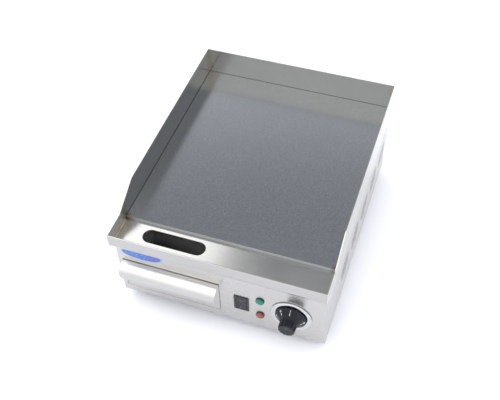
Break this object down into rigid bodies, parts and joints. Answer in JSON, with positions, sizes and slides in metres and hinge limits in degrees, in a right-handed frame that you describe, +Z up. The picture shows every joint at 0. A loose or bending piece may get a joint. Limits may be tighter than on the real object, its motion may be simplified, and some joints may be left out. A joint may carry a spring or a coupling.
{
  "type": "electric countertop griddle",
  "caption": "Electric countertop griddle with a three-sided splash guard, a front grease trough with a drain slot, a pull-out grease drawer, a rocker switch, lamps and a thermostat knob.",
  "frame": {"origin": "centre of the overall box, on the worktop, under the rubber feet", "axes": "+X to the right seen from the front, +Y from the front lip to the back of the splash guard, +Z up"},
  "size_m": [0.4, 0.529, 0.2405],
  "materials": {
    "plate": "ground steel, semi-gloss",
    "guard_steel": "brushed stainless",
    "body_steel": "brushed stainless",
    "tray_steel": "brushed stainless",
    "inner_steel": "mill finish sheet",
    "foot_rubber": "matt moulded rubber",
    "fastener": "zinc plated",
    "element_sheath": "heat tinted sheath",
    "insulation": "ceramic fibre felt",
    "copper_tube": "drawn copper",
    "black_plastic": "moulded",
    "rocker_plastic": "moulded, semi-gloss",
    "knob_plastic": "moulded phenolic",
    "bezel_metal": "satin, bright edge",
    "green_lens": "translucent lens",
    "amber_lens": "translucent lens",
    "ceramic": "glazed ceramic",
    "gland_plastic": "moulded nylon",
    "brass_stud": "turned brass",
    "red_plastic": "moulded",
    "badge": "printed blue oval, no mark",
    "lead_brown": "silicone insulated lead",
    "lead_glass": "glass braided lead"
  },
  "bodies": {
    "casing": {"griddle_plate": "plate", "splash_guard": "guard_steel", "grease_trough": "guard_steel", "drain_chute": "inner_steel", "left_side_panel": "body_steel", "right_side_panel": "body_steel", "rear_panel": "body_steel", "front_panel": "body_steel", "base_plate": "inner_steel", "foot_front_left": "foot_rubber", "foot_front_right": "foot_rubber", "foot_rear_left": "foot_rubber", "foot_rear_right": "foot_rubber", "foot_bolts": "fastener", "foot_nuts": "fastener", "base_screws": "fastener", "pan_bolts": "fastener", "pan_nuts": "fastener", "heating_element_left": "element_sheath", "heating_element_right": "element_sheath", "clamp_bars": "inner_steel", "plate_studs": "fastener", "clamp_nuts": "fastener", "insulation_blanket": "insulation", "heat_shield": "inner_steel", "shield_nuts": "fastener", "thermostat_bulb": "copper_tube", "limiter_bulb": "copper_tube", "bulb_clips": "fastener", "thermostat_body": "black_plastic", "thermostat_screws": "fastener", "dial_bezel": "bezel_metal", "switch_housing": "black_plastic", "green_lamp_body": "black_plastic", "green_lamp_lens": "green_lens", "amber_lamp_body": "black_plastic", "amber_lamp_lens": "amber_lens", "lamp_nuts": "fastener", "terminal_block": "ceramic", "terminal_screws": "fastener", "cable_gland": "gland_plastic", "gland_locknut": "gland_plastic", "equipotential_stud": "brass_stud", "equipotential_nut": "brass_stud", "limit_thermostat": "black_plastic", "limit_thermostat_nut": "fastener", "bay_divider": "inner_steel", "drawer_runner_left": "inner_steel", "drawer_runner_right": "inner_steel", "badge_plate": "badge", "supply_leads": "lead_brown", "heater_leads": "lead_glass"},
    "drawer": {"drawer_front": "body_steel", "drawer_tray": "tray_steel", "tray_rivets": "fastener"},
    "knob": {"control_knob": "knob_plastic", "thermostat_shaft": "fastener"},
    "rocker": {"switch_rocker": "rocker_plastic"},
    "reset": {"reset_button": "red_plastic"}
  },
  "joints": [
    {"name": "drawer_slide", "type": "slide", "parent": "casing", "child": "drawer", "axis": [0, -1, 0], "range_m": [0, 0.175]},
    {"name": "knob_turn", "type": "hinge", "parent": "casing", "child": "knob", "pos_m": [0.1348, -0.2495, 0.0873], "axis": [0, 1, 0], "range_deg": [0, 270]},
    {"name": "rocker_tilt", "type": "hinge", "parent": "casing", "child": "rocker", "pos_m": [0.0404, -0.2305, 0.0839], "axis": [1, 0, 0], "range_deg": [0, 16]},
    {"name": "reset_press", "type": "slide", "parent": "casing", "child": "reset", "axis": [0, -1, 0], "range_m": [0, 0.002], "stiffness_N_per_m": 400, "springref_m": -0.001}
  ]
}
